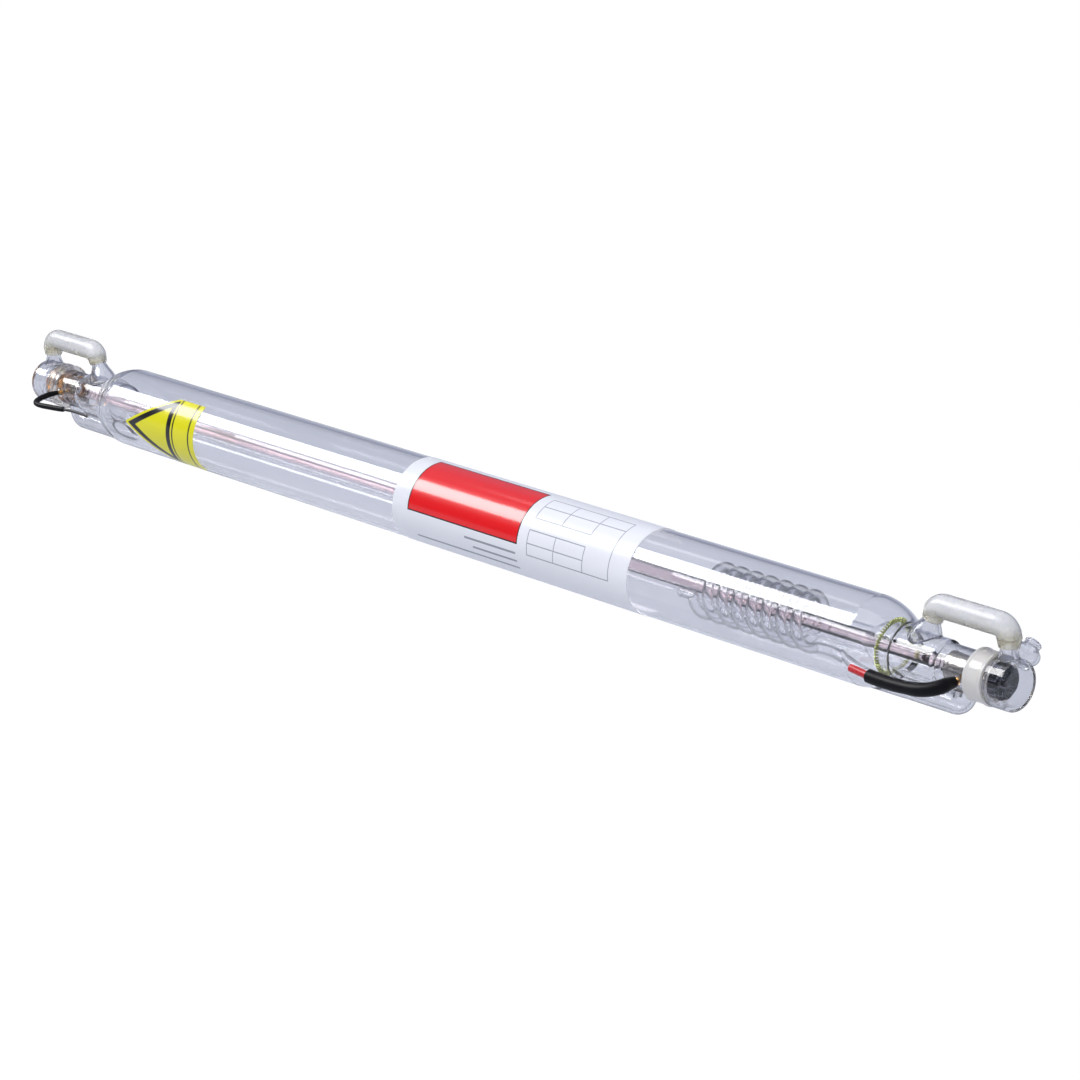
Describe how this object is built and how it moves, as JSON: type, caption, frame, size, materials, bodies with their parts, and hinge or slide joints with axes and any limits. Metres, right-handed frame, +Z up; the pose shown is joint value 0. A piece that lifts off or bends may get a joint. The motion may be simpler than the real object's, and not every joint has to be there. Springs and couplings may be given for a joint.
{
  "type": "co2 laser tube",
  "caption": "Sealed glass CO2 laser tube with a coiled gas return, water-cooled end mirrors, two silicone water bridges, hollow electrodes and short cut leads",
  "frame": {"origin": "on the tube's axis, halfway along it, between the two saddles that hold it", "axes": "+X along the tube toward the rear mirror, +Z up through the water bridges, -Y the side of the electrode pins"},
  "size_m": [0.85, 0.0606, 0.062],
  "materials": {
    "glass": "clear polished",
    "silicone": "milky translucent",
    "zinc_selenide": "clear amber",
    "silicon_mirror": "dark polished",
    "spring_wire": "olive passivated",
    "nickel": "satin",
    "brass": "satin",
    "black_rubber": "satin",
    "red_rubber": "satin",
    "white_film": "satin",
    "yellow_film": "satin"
  },
  "bodies": {
    "root": {"gas_envelope": "glass", "water_jacket": "glass", "discharge_tube": "glass", "gas_return_coil": "glass", "front_chamber": "glass", "rear_chamber": "glass", "front_gas_arm": "glass", "rear_gas_arm": "glass", "front_water_cap": "glass", "rear_water_cap": "glass", "front_jacket_nipple": "glass", "rear_jacket_nipple": "glass", "front_cap_nipple": "glass", "rear_cap_nipple": "glass", "front_water_port": "glass", "rear_water_port": "glass", "front_sleeve": "silicone", "rear_sleeve": "silicone", "front_bridge_hose": "silicone", "rear_bridge_hose": "silicone", "output_coupler": "zinc_selenide", "rear_mirror": "silicon_mirror", "support_spring": "spring_wire", "cathode": "nickel", "anode": "nickel", "cathode_pin": "brass", "anode_pin": "brass", "cathode_heat_shrink": "black_rubber", "anode_heat_shrink": "black_rubber", "cathode_lead": "black_rubber", "anode_lead": "red_rubber", "white_label": "white_film", "yellow_label": "yellow_film"}
  },
  "joints": []
}
